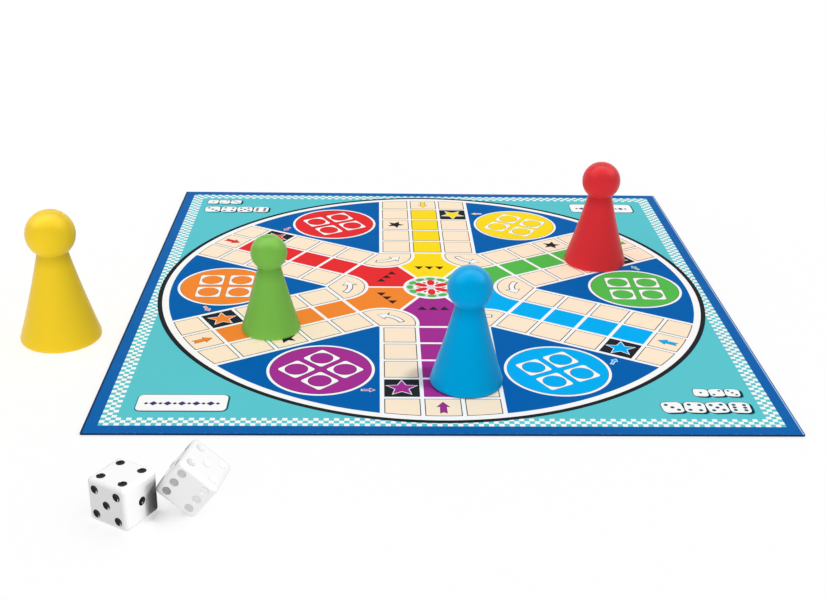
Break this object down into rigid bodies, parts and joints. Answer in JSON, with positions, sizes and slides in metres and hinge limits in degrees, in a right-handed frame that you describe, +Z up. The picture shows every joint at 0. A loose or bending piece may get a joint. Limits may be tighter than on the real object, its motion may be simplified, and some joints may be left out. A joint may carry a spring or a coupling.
{
  "type": "folding game board",
  "caption": "Square folding board for a six-player race game: two hinged panels in a turned-over cover with a printed face, with pawns and dice set out on and beside it.",
  "frame": {"origin": "middle of the open board's underside, on the fold line", "axes": "+Z up out of the printed face, +X along the fold to the right, +Y towards the back edge, the edge furthest from the viewer"},
  "size_m": [0.313, 0.3308, 0.0575],
  "materials": {
    "greyboard": "matt",
    "cover_paper": "satin laminated paper",
    "printed_sheet": "satin laminated print",
    "hinge_cloth": "matt book cloth",
    "green_plastic": "satin gloss",
    "blue_plastic": "satin gloss",
    "red_plastic": "satin gloss",
    "yellow_plastic": "satin gloss",
    "white_plastic": "gloss"
  },
  "bodies": {
    "front_half": {"panel_core_front": "greyboard", "cover_wrap_front": "cover_paper", "face_sheet_front": "printed_sheet", "hinge_tape": "hinge_cloth"},
    "back_half": {"panel_core_back": "greyboard", "cover_wrap_back": "cover_paper", "face_sheet_back": "printed_sheet"},
    "green_pawn": {"pawn_green": "green_plastic"},
    "blue_pawn": {"pawn_blue": "blue_plastic"},
    "red_pawn": {"pawn_red": "red_plastic"},
    "yellow_pawn": {"pawn_yellow": "yellow_plastic"},
    "flat_die": {"die_one": "white_plastic"},
    "leaning_die": {"die_two": "white_plastic"}
  },
  "joints": [
    {"name": "board_fold", "type": "hinge", "parent": "front_half", "child": "back_half", "pos_m": [0, 0, 0], "axis": [-1, 0, 0], "range_deg": [0, 178], "deforming": ["hinge_tape"]},
    {"name": "green_pawn_lift", "type": "slide", "parent": "front_half", "child": "green_pawn", "axis": [0, 0, 1], "range_m": [0, 0.06]},
    {"name": "blue_pawn_lift", "type": "slide", "parent": "front_half", "child": "blue_pawn", "axis": [0, 0, 1], "range_m": [0, 0.06]},
    {"name": "red_pawn_lift", "type": "slide", "parent": "back_half", "child": "red_pawn", "axis": [0, 0, 1], "range_m": [0, 0.06]},
    {"name": "yellow_pawn_lift", "type": "slide", "parent": "front_half", "child": "yellow_pawn", "axis": [0, 0, 1], "range_m": [0, 0.06]},
    {"name": "flat_die_lift", "type": "slide", "parent": "front_half", "child": "flat_die", "axis": [0, 0, 1], "range_m": [0, 0.06]},
    {"name": "leaning_die_lift", "type": "slide", "parent": "front_half", "child": "leaning_die", "axis": [0, 0, 1], "range_m": [0, 0.06]}
  ]
}
